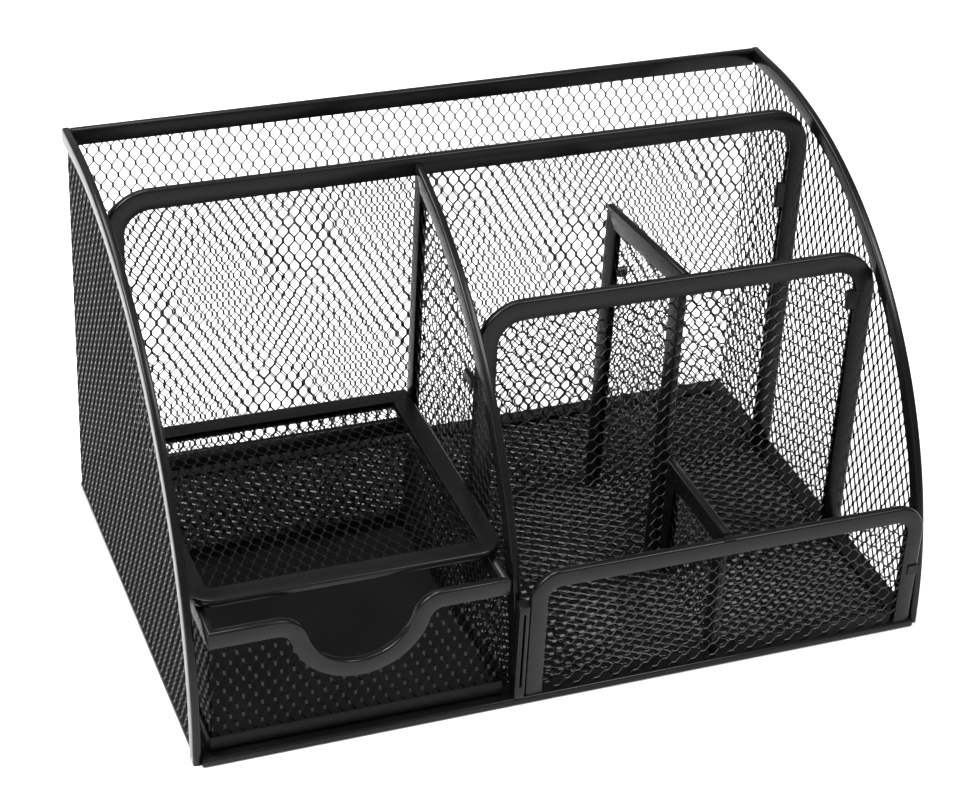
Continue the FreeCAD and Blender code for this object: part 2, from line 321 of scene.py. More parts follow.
def lying(across: Vector, up: Vector, origin: Vector) -> Matrix:
    """Place of a piece drawn flat in u and v.

    Args:
        across: Where u points.
        up: Where v points.
        origin: Where u and v are zero.

    Returns:
        The matrix from the flat drawing to the stand.
    """
    out = across.cross(up)
    return Matrix((
        (across.x, up.x, out.x, origin.x),
        (across.y, up.y, out.y, origin.y),
        (across.z, up.z, out.z, origin.z),
        (0, 0, 0, 1),
    ))


X, Y, Z = Vector((1, 0, 0)), Vector((0, 1, 0)), Vector((0, 0, 1))


def facing_front(y: float) -> Matrix:
    """Place of a flat (x, z) drawing that stands across the organizer at a depth y."""
    return lying(X, Z, Vector((0, y, 0)))


def facing_side(x: float) -> Matrix:
    """Place of a flat (y, z) drawing that stands along the organizer at x."""
    return lying(Y, Z, Vector((x, 0, 0)))


def facing_up(z: float) -> Matrix:
    """Place of a flat (x, y) drawing that lies at a height z."""
    return lying(X, Y, Vector((0, 0, z)))


# Outlines

@dataclass(frozen=True)
class Bend:
    """A corner of an outline: where its two sides meet, and how far it is rounded."""

    u: float
    v: float
    radius: float = 0.0

    @property
    def place(self) -> Vector:
        """The corner's place in the drawing."""
        return Vector((self.u, self.v, 0))


@dataclass(frozen=True)
class Turn:
    """How an outline goes round one corner."""

    start: Vector
    centre: Vector
    radius: float
    angle: float
    before: Vector
    after: Vector


@dataclass(frozen=True)
class Outline:
    """A sheet's outline, drawn clockwise, so that the sheet lies on the right of it."""

    bends: Sequence[Bend]

    def ways(self) -> list[Vector]:
        """Directions of the straight sides."""
        places = [bend.place for bend in self.bends]
        return [(second - first).normalized() for first, second in zip(places, places[1:])]

    def turns(self) -> list[Turn]:
        """Works out how the outline goes round its inner corners.

        Returns:
            The turns in order, sharp ones with radius zero.
        """
        ways = self.ways()
        made = []
        for bend, before, after in zip(self.bends[1:-1], ways, ways[1:]):
            angle = math.atan2(before.cross(after).z, before.dot(after))
            start = bend.place - before * (bend.radius * math.tan(abs(angle) / 2))
            side = inward(before) if angle < 0 else -inward(before)
            made.append(Turn(start, start + side * bend.radius, bend.radius, angle, before, after))
        return made

    def trace(self, inset: float, steps: int = 6) -> list[Vector]:
        """Points along a line inside the outline, with a few on each round corner.

        Args:
            inset: How far inside the line runs.
            steps: Stretches that each round corner is divided into.

        Returns:
            The points in order.
        """
        ways = self.ways()
        line = [self.bends[0].place + inward(ways[0]) * inset]
        for turn in self.turns():
            arm = turn.start - turn.centre
            arm.length += inset if turn.angle > 0 else -inset
            line += [turn.centre + Matrix.Rotation(turn.angle * k / steps, 3, "Z") @ arm
                     for k in range(steps + 1)]
        line.append(self.bends[-1].place + inward(ways[-1]) * inset)
        return line


def inward(way: Vector) -> Vector:
    """The side on which a sheet lies, for a clockwise outline."""
    return Vector((way.y, -way.x, 0))


def side_curve(rim: Extent) -> Outline:
    """The side walls' outline in y and z: round from the front foot, and back along the top."""
    return Outline((Bend(rim.low.y, rim.low.z), Bend(rim.low.y, rim.high.z, rim.size.z),
                    Bend(rim.high.y, rim.high.z)))


# Expanded mesh

@dataclass(frozen=True)
class ExpandedMesh:
    """The stock that the sheets are cut from: slit steel sheet pulled open into diamonds.

    Every bond is two strands wide and leans, as it does on stock that isn't rolled flat, and the
    strands twist from the upper edge of one bond to the lower edge of the next.
    """

    long_way: float = 6.12 * MM
    short_way: float = 3.515 * MM
    bond_length: float = 1.5 * MM
    strand_width: float = 0.32 * MM
    draw_in_share: float = 0.54
    lean: float = 0.21 * MM
    gauge: float = 0.27 * MM
    smooth_angle: float = 20.0

    def bond_and_strands(self, name: str) -> Piece:
        """Models one bond and the two strands that leave it to the right.

        Args:
            name: The piece's name.

        Returns:
            The flat unit that the stock repeats, long way along X.
        """
        edge_length = self.bond_length - self.draw_in_share * self.strand_width
        run = Vector(((self.long_way - self.bond_length - edge_length) / 2,
                      self.short_way / 2 - self.strand_width, 0))
        tip = (self.bond_length - edge_length) / 2
        unit = square(name)
        with editing(unit):
            bpy.ops.mesh.select_all(action="SELECT")
            bpy.ops.transform.resize(value=(edge_length, 2 * self.strand_width, 1))
            for sign in (1, -1):
                pick(unit, "EDGE", lambda co: co.x * sign > 0)
                bpy.ops.mesh.subdivide()
                pick(unit, "VERT", lambda co: co.x * sign > 0 and abs(co.y) < MERGE)
                bpy.ops.transform.translate(value=(sign * tip, 0, 0))
            for sign in (1, -1):
                pick(unit, "VERT", lambda co: co.y * sign > MERGE)
                bpy.ops.transform.translate(value=(0, 0, sign * self.lean))
            for sign in (1, -1):
                pick(unit, "EDGE", lambda co: 0 < co.x < self.bond_length and co.y * sign > -MERGE)
                bpy.ops.mesh.extrude_region_move(
                    TRANSFORM_OT_translate={"value": (run.x, sign * run.y, -sign * self.lean)})
        return unit

    def blank(self, name: str, low: Vector, high: Vector, lay: Lay, start: Vector,
              slant: float = 0) -> Piece:
        """Lays out a rectangle of stock with no thickness yet.

        Args:
            name: The piece's name.
            low: Lower left corner of the rectangle.
            high: Upper right corner.
            lay: The way that the diamonds point.
            start: A place that a row of bonds passes through.
            slant: How far the rows are off square, in degrees.

        Returns:
            The sheet, cut square to the rectangle.
        """
        spare = 1 + math.ceil(math.tan(math.radians(slant)) * (high - low).length / self.short_way)
        sheet = self.bond_and_strands(name)
        pitch = Vector((self.long_way, self.short_way))
        if lay.upright:
            pitch = pitch.yx
        first = [math.floor((low[i] - start[i]) / pitch[i]) - spare for i in (0, 1)]
        last = [math.ceil((high[i] - start[i]) / pitch[i]) + spare for i in (0, 1)]
        count = [last[i] - first[i] for i in (0, 1)]
        along, over = reversed(count) if lay.upright else count
        for number, step in ((2, (self.long_way / 2, self.short_way / 2, 0)),
                             (along, (self.long_way, 0, 0)), (over, (0, self.short_way, 0))):
            modify(sheet, "ARRAY", count=number, use_relative_offset=False,
                   use_constant_offset=True, constant_offset_displace=step)
        rows = [last[i] if lay.backwards[i] else first[i] for i in (0, 1)]
        corner = Matrix.Translation((rows[0] * pitch.x, rows[1] * pitch.y, 0))
        turn = Matrix.Translation(start) @ Matrix.Rotation(math.radians(slant), 4, "Z")
        moved(sheet, turn @ corner @ Matrix.Rotation(math.radians(lay.value), 4, "Z"))
        with editing(sheet):
            bpy.ops.mesh.select_all(action="SELECT")
            bpy.ops.mesh.remove_doubles(threshold=MERGE)
            for point, outward in ((low, -X), (low, -Y), (high, X), (high, Y)):
                cut(point, outward)
        return sheet

    @staticmethod
    def trim(sheet: Piece, outline: Outline, inset: float, steps: int = 8) -> None:
        """Trims a blank along an outline that bulges everywhere.

        Args:
            sheet: The blank.
            outline: The outline of the strip's outer edge.
            inset: How far inside the outline the sheet ends.
            steps: Cuts round each corner.
        """
        with editing(sheet):
            for way, bend in zip(outline.ways(), outline.bends):
                cut(bend.place + inward(way) * inset, -inward(way))
            for turn in outline.turns():
                for k in range(1, steps):
                    way = Matrix.Rotation(turn.angle * k / steps, 3, "Z") @ turn.before
                    out = -inward(way)
                    if turn.radius > inset:
                        cut(turn.centre + out * (turn.radius - inset), out)

    @staticmethod
    def scoop(sheet: Piece, outline: Outline, inset: float) -> None:
        """Trims a blank's top along an outline that dips, column by column.

        Args:
            sheet: The blank.
            outline: The outline of the strip's outer edge, from left to right.
            inset: How far below the outline the sheet ends.
        """
        line = outline.trace(inset)
        with editing(sheet):
            for place in line[1:-1]:
                cut(place, X, keep=True)
            for first, second in zip(line, line[1:]):
                pick(sheet, "FACE", lambda co: first.x < co.x < second.x)
                cut_selected(first, -inward(second - first))

    def thickened(self, sheet: Piece) -> Piece:
        """Gives a sheet its thickness, and leaves its strands and bonds flat."""
        modify(sheet, "SOLIDIFY", thickness=self.gauge, offset=0, use_even_offset=False)
        return smoothed(sheet, self.smooth_angle)


# Folded strip

@dataclass(frozen=True)
class FoldedStrip:
    """The steel strip that is folded over a sheet's edge."""

    thickness: float = 2.4 * MM
    gauge: float = 0.42 * MM
    fold_radius: float = 0.65 * MM
    fold_steps: int = 3
    least_turn_steps: int = 4
    steps_in_radian: int = 5
    radius_in_step: float = 4 * MM

    def profile(self, name: str, point: Vector, way: Vector, band: float) -> Piece:
        """Models the strip's section as an open line: flange, fold, edge, fold, flange.

        Args:
            name: The piece's name.
            point: Where the strip's outer edge starts.
            way: Where the strip runs.
            band: How far the flanges reach over the sheet.

        Returns:
            The section, ready to be drawn out.
        """
        section = square(name)
        with editing(section):
            bpy.ops.mesh.select_all(action="SELECT")
            bpy.ops.transform.resize(value=(band, self.thickness, 1))
            bpy.ops.transform.translate(value=(band / 2, 0, 0))
            pick(section, "VERT", lambda co: co.x < band / 2)
            bpy.ops.mesh.bevel(offset=self.fold_radius, segments=self.fold_steps, affect="VERTICES")
            bpy.ops.mesh.select_all(action="SELECT")
            bpy.ops.mesh.delete(type="ONLY_FACE")
            pick(section, "EDGE", lambda co: co.x > band - MERGE)
            bpy.ops.mesh.delete(type="EDGE")
        return moved(section, lying(inward(way), Z, point))

    def run(self, name: str, outline: Outline, band: float) -> Piece:
        """Folds a strip over an outline; sharp corners are mitred and round ones are drawn round.

        Args:
            name: The piece's name.
            outline: The outline of the strip's outer edge.
            band: How far the flanges reach over the sheet.

        Returns:
            The strip with no thickness yet.
        """
        lengths = []
        point = outline.bends[0].place
        seam = None
        turns = outline.turns()
        ways = outline.ways()
        length = self.profile(name, point, ways[0], band)
        for turn in turns:
            sharp = turn.radius == 0
            self._draw(length, turn.start - point + turn.before * (band if sharp else 0))
            seam = self._mitre_start(length, seam)
            if sharp:
                self._mitre_end(length, point, turn, band)
                lengths.append(length)
                seam = (turn.start, turn.before + turn.after)
                point = turn.start - turn.after * band
                length = self.profile(name, point, turn.after, band)
            else:
                point = self._bend(length, turn)
        self._draw(length, outline.bends[-1].place - point)
        self._mitre_start(length, seam)
        return welded(joined(lengths + [length]))

    def thickened(self, strip: Piece) -> Piece:
        """Gives a folded strip the thickness of its steel, inwards, and breaks its raw edges."""
        return folded_steel(strip, self.gauge)

    def _draw(self, strip: Piece, run: Vector) -> None:
        """Draws the strip's open end out straight.

        Args:
            strip: The length of strip.
            run: How far, and which way.
        """
        if run.length < MERGE:
            return
        with editing(strip):
            self._pick_end(strip)
            bpy.ops.mesh.extrude_region_move(TRANSFORM_OT_translate={"value": run})
            self._mark_end(strip)

    def _bend(self, strip: Piece, turn: Turn) -> Vector:
        """Draws the strip's open end round a corner.

        Args:
            strip: The length of strip.
            turn: The corner.

        Returns:
            Where the strip's outer edge comes out.
        """
        steps_in_radian = self.steps_in_radian + turn.radius / self.radius_in_step
        steps = max(self.least_turn_steps, round(abs(turn.angle) * steps_in_radian))
        with editing(strip):
            self._pick_end(strip)
            bpy.ops.mesh.spin(steps=steps, angle=-turn.angle, center=turn.centre, axis=Z)
            self._mark_end(strip)
        return turn.centre + Matrix.Rotation(turn.angle, 3, "Z") @ (turn.start - turn.centre)

    @staticmethod
    def _mitre_start(strip: Piece, seam: tuple[Vector, Vector] | None) -> None:
        """Cuts a straight length at its start, where another length meets it.

        Args:
            strip: The length of strip.
            seam: A place on the cut and the way that is kept, if there is one.
        """
        if seam is not None:
            with editing(strip):
                cut(seam[0], -seam[1])

    @staticmethod
    def _mitre_end(strip: Piece, point: Vector, turn: Turn, band: float) -> None:
        """Cuts the last straight run of a length at its far end, and leaves its earlier runs alone.

        Args:
            strip: The length of strip.
            point: Where the run starts.
            turn: The corner at its end.
            band: How far the flanges reach.
        """
        side = inward(turn.before)

        def in_run(place: Vector) -> bool:
            """Whether a face belongs to the run."""
            ahead, aside = (place - point).dot(turn.before), (place - point).dot(side)
            return ahead > 0 and -MERGE < aside < band + MERGE

        with editing(strip):
            pick(strip, "FACE", in_run)
            cut_selected(turn.start, turn.before + turn.after)

    @staticmethod
    def _pick_end(strip: Piece) -> None:
        """Selects the open end: all of a bare section, or the vertices marked last.

        Args:
            strip: The length of strip, in edit mode.
        """
        bpy.ops.mesh.select_mode(type="VERT")
        bpy.ops.mesh.select_all(action="DESELECT")
        mesh = bmesh.from_edit_mesh(strip.data)
        layer = mesh.verts.layers.int.get("end")
        last = max((vert[layer] for vert in mesh.verts), default=0) if layer else 0
        for vert in mesh.verts:
            vert.select_set(layer is None or vert[layer] == last)
        mesh.select_flush(True)
        bmesh.update_edit_mesh(strip.data)

    @staticmethod
    def _mark_end(strip: Piece) -> None:
        """Marks the selected vertices as the open end.

        Args:
            strip: The length of strip, in edit mode.
        """
        mesh = bmesh.from_edit_mesh(strip.data)
        layer = mesh.verts.layers.int.get("end") or mesh.verts.layers.int.new("end")
        last = max(vert[layer] for vert in mesh.verts)
        for vert in mesh.verts:
            if vert.select:
                vert[layer] = last + 1
        bmesh.update_edit_mesh(strip.data)


# Finishes

def node(tree: Tree, kind: str, place: tuple[float, float],
         values: dict[str, float] | None = None, **settings: object) -> bpy.types.Node:
    """Adds a shader node.

    Args:
        tree: The tree it goes into.
        kind: The node's type.
        place: Where it stands in the tree.
        values: Its inputs' values by name.
        settings: Its properties by name.

    Returns:
        The node.
    """
    made = tree.nodes.new(kind)
    made.location = place
    for name, value in settings.items():
        setattr(made, name, value)
    for name, value in (values or {}).items():
        made.inputs[name].default_value = value
    return made


def effect(name: str, inputs: dict[str, float],
           outputs: dict[str, str]) -> tuple[Tree, bpy.types.Node, bpy.types.Node]:
    """Starts a node group for an effect that the finishes share.

    Args:
        name: The group's name.
        inputs: Its values by name, with their defaults.
        outputs: Its outputs by name, with their socket types.

    Returns:
        The group, its input node and its output node.
    """
    group = bpy.data.node_groups.new(name, "ShaderNodeTree")
    for label, value in inputs.items():
        socket = group.interface.new_socket(label, in_out="INPUT", socket_type="NodeSocketFloat")
        socket.default_value = value
    for label, kind in outputs.items():
        group.interface.new_socket(label, in_out="OUTPUT", socket_type=kind)
    return group, node(group, "NodeGroupInput", (-900, 0)), node(group, "NodeGroupOutput", (600, 0))


def sized_noise(group: Tree, size: bpy.types.NodeSocket, detail: float) -> bpy.types.Node:
    """Adds noise in the object's own coordinates.

    Args:
        group: The group it goes into.
        size: The socket that gives the size of its patches.
        detail: How many finer layers it has.

    Returns:
        The noise node.
    """
    coords = node(group, "ShaderNodeTexCoord", (-900, -300))
    scale = node(group, "ShaderNodeMath", (-700, 100), operation="DIVIDE")
    scale.inputs[0].default_value = 1.0
    noise = node(group, "ShaderNodeTexNoise", (-450, 0), {"Detail": detail})
    group.links.new(size, scale.inputs[1])
    group.links.new(coords.outputs["Object"], noise.inputs["Vector"])
    group.links.new(scale.outputs[0], noise.inputs["Scale"])
    return noise


def coat_grain() -> Tree:
    """Makes the fine uneven skin of baked powder.

    Returns:
        The group, which puts out a normal and a mask.
    """
    group, given, result = effect("coat_grain",
                                  {"Size": 0.4 * MM, "Depth": 0.02 * MM, "Strength": 0.5},
                                  {"Normal": "NodeSocketVector", "Mask": "NodeSocketFloat"})
    link = group.links.new
    noise = sized_noise(group, given.outputs["Size"], 2.0)
    noise.inputs["Roughness"].default_value = 0.55
    bump = node(group, "ShaderNodeBump", (100, 0))
    link(given.outputs["Strength"], bump.inputs["Strength"])
    link(given.outputs["Depth"], bump.inputs["Distance"])
    link(noise.outputs["Fac"], bump.inputs["Height"])
    link(bump.outputs["Normal"], result.inputs["Normal"])
    link(noise.outputs["Fac"], result.inputs["Mask"])
    return group


def settled_dust() -> Tree:
    """Makes a thin grey film in patches, thicker on what faces up.

    Returns:
        The group, which puts out a mask.
    """
    group, given, result = effect("settled_dust", {"Amount": 0.1, "Patch": 18 * MM},
                                  {"Mask": "NodeSocketFloat"})
    link = group.links.new
    surface = node(group, "ShaderNodeNewGeometry", (-900, -600))
    split = node(group, "ShaderNodeSeparateXYZ", (-700, -600))
    link(surface.outputs["Normal"], split.inputs[0])
    facing = node(group, "ShaderNodeMapRange", (-500, -600), {"From Min": 0.1, "To Min": 0.25})
    link(split.outputs["Z"], facing.inputs["Value"])
    noise = sized_noise(group, given.outputs["Patch"], 4.0)
    patches = node(group, "ShaderNodeMapRange", (-250, 0), {"From Min": 0.35, "From Max": 0.75})
    link(noise.outputs["Fac"], patches.inputs["Value"])
    both = node(group, "ShaderNodeMath", (0, -200), operation="MULTIPLY")
    link(patches.outputs[0], both.inputs[0])
    link(facing.outputs[0], both.inputs[1])
    amount = node(group, "ShaderNodeMath", (200, -100), operation="MULTIPLY", use_clamp=True)
    link(both.outputs[0], amount.inputs[0])
    link(given.outputs["Amount"], amount.inputs[1])
    link(amount.outputs[0], result.inputs["Mask"])
    return group


@dataclass(frozen=True)
class PowderCoat:
    """Baked satin black powder on steel."""

    name: str
    black: tuple[float, float, float] = (0.003, 0.003, 0.0032)
    dust: tuple[float, float, float] = (0.06, 0.058, 0.055)
    reflection: float = 0.16
    smooth: float = 0.2
    rough: float = 0.3
    grain_size: float = 0.35 * MM
    grain_depth: float = 0.012 * MM
    dustiness: float = 0.04

    def material(self, grain: Tree, film: Tree) -> bpy.types.Material:
        """Builds the coat's material.

        Args:
            grain: The shared grain effect.
            film: The shared dust effect.

        Returns:
            The material.
        """
        made = bpy.data.materials.new(self.name)
        made.use_nodes = True
        tree = made.node_tree
        link = tree.links.new
        shader = tree.nodes["Principled BSDF"]
        shader.inputs["Specular IOR Level"].default_value = self.reflection
        skin = node(tree, "ShaderNodeGroup", (-700, -200),
                    {"Size": self.grain_size, "Depth": self.grain_depth}, node_tree=grain)
        dust = node(tree, "ShaderNodeGroup", (-700, 200),
                    {"Amount": self.dustiness}, node_tree=film)
        shade = node(tree, "ShaderNodeMix", (-400, 200), data_type="RGBA")
        shade.inputs["A"].default_value = (*self.black, 1)
        shade.inputs["B"].default_value = (*self.dust, 1)
        link(dust.outputs["Mask"], shade.inputs["Factor"])
        link(shade.outputs["Result"], shader.inputs["Base Color"])
        gloss = node(tree, "ShaderNodeMapRange", (-400, -100),
                     {"To Min": self.smooth, "To Max": self.rough})
        link(skin.outputs["Mask"], gloss.inputs["Value"])
        link(gloss.outputs[0], shader.inputs["Roughness"])
        link(skin.outputs["Normal"], shader.inputs["Normal"])
        return made


# The organizer

@dataclass
class Workshop:
    """Stock, strip and coats that every sub-assembly is made from."""

    stock: ExpandedMesh = ExpandedMesh()
    front_stock: ExpandedMesh = ExpandedMesh(long_way=6 * MM, short_way=4.05 * MM)
    strip: FoldedStrip = FoldedStrip()
    sheet_inset: float = 0.8 * MM
    side_curve_steps: int = 24
    coats: dict[Slot, bpy.types.Material] = field(default_factory=dict)

    def mix_coats(self) -> None:
        """Builds the finishes, one for each material slot."""
        grain, film = coat_grain(), settled_dust()
        coats = {
            Slot.EDGING: PowderCoat("satin_black_strip"),
            Slot.MESH: PowderCoat("satin_black_mesh", reflection=0.17),
            Slot.PAN: PowderCoat("satin_black_pan", reflection=0.08, smooth=0.35, rough=0.5),
            # The coat of the black sheet under the base mesh, which keeps what shows through its
            # openings dark.
            Slot.PAD: PowderCoat("matt_black_backing", reflection=0.1, smooth=0.7, rough=0.9),
        }
        for slot, coat in coats.items():
            self.coats[slot] = coat.material(grain, film)

    def coat_packed(self) -> None:
        """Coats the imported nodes, of which the hooked tabs stay in view."""
        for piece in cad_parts.values():
            piece.data.materials.clear()
            piece.data.materials.append(self.coats[Slot.EDGING])

    def hand_over(self, piece: Piece, slot: Slot, body: Body, *nodes: str) -> None:
        """Coats a piece and fixes it to its body.

        Args:
            piece: The finished piece.
            slot: The record's slot that its coat belongs to.
            body: What it moves with.
            nodes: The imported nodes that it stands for.
        """
        piece.data.materials.clear()
        piece.data.materials.append(self.coats[slot])
        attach(piece, body.value)
        if nodes:
            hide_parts(*nodes)
        log.info("%s: %d faces", piece.name, len(piece.data.polygons))

    def hand_over_sheet(self, sheet: Piece, place: Matrix, name: str,
                        body: Body = Body.STAND) -> None:
        """Gives a flat sheet its thickness and place, and hands it over as a mesh node."""
        self.hand_over(moved(self.stock.thickened(sheet), place), Slot.MESH, body, name + "_mesh")

    def hand_over_strip(self, strip: Piece, place: Matrix, name: str) -> None:
        """Gives a flat strip its thickness and place, and hands it over as the stand's edging."""
        self.hand_over(moved(self.strip.thickened(strip), place),
                       Slot.EDGING, Body.STAND, name + "_edging")

    def bound_panel(self, name: str, outline: Outline, band: float, lay: Lay, place: Matrix,
                    start: Vector | None = None) -> None:
        """Makes one of the stand's sheets with a strip folded over its outline.

        A sheet that lies level is cut from the fronts' stock.

        Args:
            name: The panel's name, as its two nodes begin.
            outline: The strip's outer edge.
            band: How far the strip reaches over the sheet.
            lay: The way that the diamonds point.
            place: Where the drawing goes.
            start: A place that a row of bonds passes through, or else the middle of the foot.
        """
        across, up = [bend.u for bend in outline.bends], [bend.v for bend in outline.bends]
        low, high = Vector((min(across), min(up), 0)), Vector((max(across), max(up), 0))
        start = start or Vector(((low.x + high.x) / 2, low.y, 0))
        stock = self.stock if lay.upright else self.front_stock
        sheet = stock.blank(name + "_diamonds", low, high, lay, start)
        stock.trim(sheet, outline, self.sheet_inset)
        self.hand_over_sheet(sheet, place, name)
        self.hand_over_strip(self.strip.run(name + "_strip", outline, band), place, name)


@dataclass
class OuterShell:
    """Base, back wall and the two curved side walls."""

    side_band: float = 4.2 * MM
    back_band: float = 5.0 * MM
    base_band: float = 6.0 * MM
    back_bond: tuple[float, float, float] = (-0.3 * MM, 76.1 * MM, 0)
    back_slant: float = 1.4
    # A thin black sheet under the base mesh, which keeps what shows through its openings dark.
    backing_thickness: float = 0.3 * MM
    backing_reach: float = 1.5 * MM
    backing_corner: float = 3 * MM
    backing_corner_steps: int = 4

    def build(self, shop: Workshop) -> None:
        """Makes the shell's pieces.

        Args:
            shop: What it is made from.
        """
        self.base(shop)
        self.walls(shop)
        for side in ("left", "right"):
            box = Extent.of(side + "_side_edging")
            strip = shop.strip.run(side + "_side_strip", side_curve(box), self.side_band)
            shop.hand_over_strip(strip, facing_side(box.centre.x), side + "_side")
        box = Extent.of("back_edging")
        outline = Outline((Bend(box.low.x, box.high.z), Bend(box.high.x, box.high.z)))
        strip = shop.strip.run("back_strip", outline, self.back_band)
        shop.hand_over_strip(strip, facing_front(box.centre.y), "back")

    def base(self, shop: Workshop) -> None:
        """Makes the base: a sheet in a mitred rim, and a thin black sheet under it that keeps its
        openings dark.

        The rim's sides and rear carry the walls' sheets. Its front lies between the side strips.

        Args:
            shop: What it is made from.
        """
        box = Extent.of("base_frame")
        rim = Extent.of("left_side_edging")
        side, rear = Extent.of("left_side_mesh"), Extent.of("back_mesh")
        front, back, x = box.low.y, rear.high.y, side.low.x
        stop = rim.low.y + self.side_band
        place = facing_up(box.centre.z)
        ring = Outline((Bend(x, front), Bend(x, back), Bend(-x, back), Bend(-x, front),
                        Bend(x, front)))
        low, high = Vector((x, front, 0)), Vector((-x, back, 0))
        sheet = shop.stock.blank("base_diamonds", low, high, Lay.LEVEL, Vector((0, front, 0)))
        shop.stock.trim(sheet, ring, shop.sheet_inset)
        shop.hand_over_sheet(sheet, place, "base")
        around = Outline((Bend(x, stop), Bend(x, back), Bend(-x, back), Bend(-x, stop)))
        across = Outline((Bend(-rim.high.x, front), Bend(rim.high.x, front)))
        strips = [shop.strip.thickened(shop.strip.run("base_strip", line, self.base_band))
                  for line in (around, across)]
        shop.hand_over(moved(joined(strips), place), Slot.EDGING, Body.STAND, "base_frame")
        self.pad(shop)

    def pad(self, shop: Workshop) -> None:
        """Makes a thin black sheet under the base mesh, which keeps what shows through its openings
        dark; its edges are hidden in the rim.

        Args:
            shop: What it is made from.
        """
        box = Extent.of("base_pad")
        size = box.size + 2 * self.backing_reach * (X + Y)
        # The thin black sheet that keeps what shows through the base's openings dark.
        pad = square("base_dark_backing", place=(box.centre.x, box.centre.y, box.high.z))
        pad.scale = (size.x, size.y, 1)
        settle(pad)
        with editing(pad):
            bpy.ops.mesh.select_all(action="SELECT")
            bpy.ops.mesh.bevel(offset=self.backing_corner, segments=self.backing_corner_steps,
                               affect="VERTICES")
        modify(pad, "SOLIDIFY", thickness=self.backing_thickness, offset=-1)
        shop.hand_over(smoothed(pad), Slot.PAD, Body.STAND, "base_pad")

    def walls(self, shop: Workshop) -> None:
        """Makes the back sheet, with its rows laid a little off square, and the side sheets.

        Args:
            shop: What they are made from.
        """
        back = Extent.of("back_mesh")
        left, right = Extent.of("left_side_mesh"), Extent.of("right_side_mesh")
        rim = Extent.of("left_side_edging")
        corner_y = back.centre.y
        foot = Extent.of("base_frame").high.z
        low, high = Vector((left.centre.x, foot, 0)), Vector((right.centre.x, back.high.z, 0))
        sheet = shop.stock.blank("back_diamonds", low, high, Lay.UPRIGHT, Vector(self.back_bond),
                                 self.back_slant)
        shop.hand_over_sheet(sheet, facing_front(corner_y), "back")
        for side, box in (("left", left), ("right", right)):
            low, high = Vector((rim.low.y, foot, 0)), Vector((corner_y, rim.high.z, 0))
            corner = Vector((corner_y, foot, 0))
            sheet = shop.stock.blank(side + "_side_diamonds", low, high, Lay.UPRIGHT, corner)
            shop.stock.trim(sheet, side_curve(rim), shop.sheet_inset, shop.side_curve_steps)
            shop.hand_over_sheet(sheet, facing_side(box.centre.x), side + "_side")


@dataclass
class CrossPanel:
    """A panel across the stand, with round top corners and open at its foot."""

    name: str
    corner: float
    band: float
    lay: Lay
    bond: tuple[float, float, float]

    def build(self, shop: Workshop) -> None:
        """Makes the panel's sheet and strip.

        Args:
            shop: What it is made from.
        """
        box = Extent.of(self.name + "_edging")
        outline = Outline((Bend(box.low.x, box.low.z), Bend(box.low.x, box.high.z, self.corner),
                           Bend(box.high.x, box.high.z, self.corner), Bend(box.high.x, box.low.z)))
        shop.bound_panel(self.name, outline, self.band, self.lay, facing_front(box.centre.y),
                         start=Vector(self.bond))


@dataclass
class CentreDivider:
    """The divider beside the drawer, which follows the side walls' curve."""

    band: float = 5.0 * MM

    def build(self, shop: Workshop) -> None:
        """Makes the divider's sheet and its two lengths of strip, which meet at its top.

        Args:
            shop: What they are made from.
        """
        box = Extent.of("centre_divider_edging")
        rim = Extent.of("left_side_edging")
        centre = Vector((rim.low.y + rim.size.z, rim.low.z, 0))
        top = Vector((box.high.y, box.high.z, 0))
        curve = side_curve(rim)
        rear = Outline((Bend(top.x, top.y + self.band), Bend(top.x, box.low.z)))
        place = facing_side(box.centre.x)
        along = inward((top - centre).normalized())
        seam = along - Y
        front_strip = shop.strip.run("centre_divider_strip", curve, self.band)
        rear_strip = shop.strip.run("centre_divider_rear_strip", rear, self.band)
        with editing(front_strip):
            cut(top, seam)
            cut(box.low.z * Y, -Y)
        with editing(rear_strip):
            cut(top, -seam)
        strips = [shop.strip.thickened(strip) for strip in (front_strip, rear_strip)]
        shop.hand_over(moved(joined(strips), place),
                       Slot.EDGING, Body.STAND, "centre_divider_edging")
        low = Vector((rim.low.y, box.low.z, 0))
        high = Vector((top.x - shop.sheet_inset, rim.high.z, 0))
        sheet = shop.stock.blank("centre_divider_diamonds", low, high, Lay.UPRIGHT_TURNED, high)
        shop.stock.trim(sheet, curve, shop.sheet_inset, shop.side_curve_steps)
        shop.hand_over_sheet(sheet, place, "centre_divider")


@dataclass
class PenDivider:
    """A small divider between two cross panels, hooked in a little off square."""

    name: str
    band: float
    fall: float
    front_is_right: bool

    def build(self, shop: Workshop) -> None:
        """Makes the divider's sheet and strip.

        Args:
            shop: What it is made from.
        """
        box = Extent.of(self.name + "_edging")
        half = shop.strip.thickness / 2
        right, left = box.high.x - half, box.low.x + half
        front = Vector((right if self.front_is_right else left, box.low.y, 0))
        rear = Vector((left if self.front_is_right else right, box.high.y, 0))
        length = (rear - front).length
        foot, top = box.low.z, box.high.z
        outline = Outline((Bend(0, foot), Bend(0, top), Bend(length, top - self.fall),
                           Bend(length, foot)))
        shop.bound_panel(self.name, outline, self.band, Lay.UPRIGHT_TURNED,
                         lying((rear - front).normalized(), Z, front))


@dataclass
class Shelf:
    """The flat shelf over the drawer."""

    band: float = 6.0 * MM
    corner: float = 7.5 * MM

    def build(self, shop: Workshop) -> None:
        """Makes the shelf's sheet and strip.

        Args:
            shop: What it is made from.
        """
        box = Extent.of("shelf_edging")
        middle = box.centre.x
        outline = Outline((Bend(middle, box.high.y), Bend(box.high.x, box.high.y),
                           Bend(box.high.x, box.low.y, self.corner),
                           Bend(box.low.x, box.low.y, self.corner),
                           Bend(box.low.x, box.high.y), Bend(middle, box.high.y)))
        shop.bound_panel("shelf", outline, self.band, Lay.UPRIGHT, facing_up(box.centre.z))


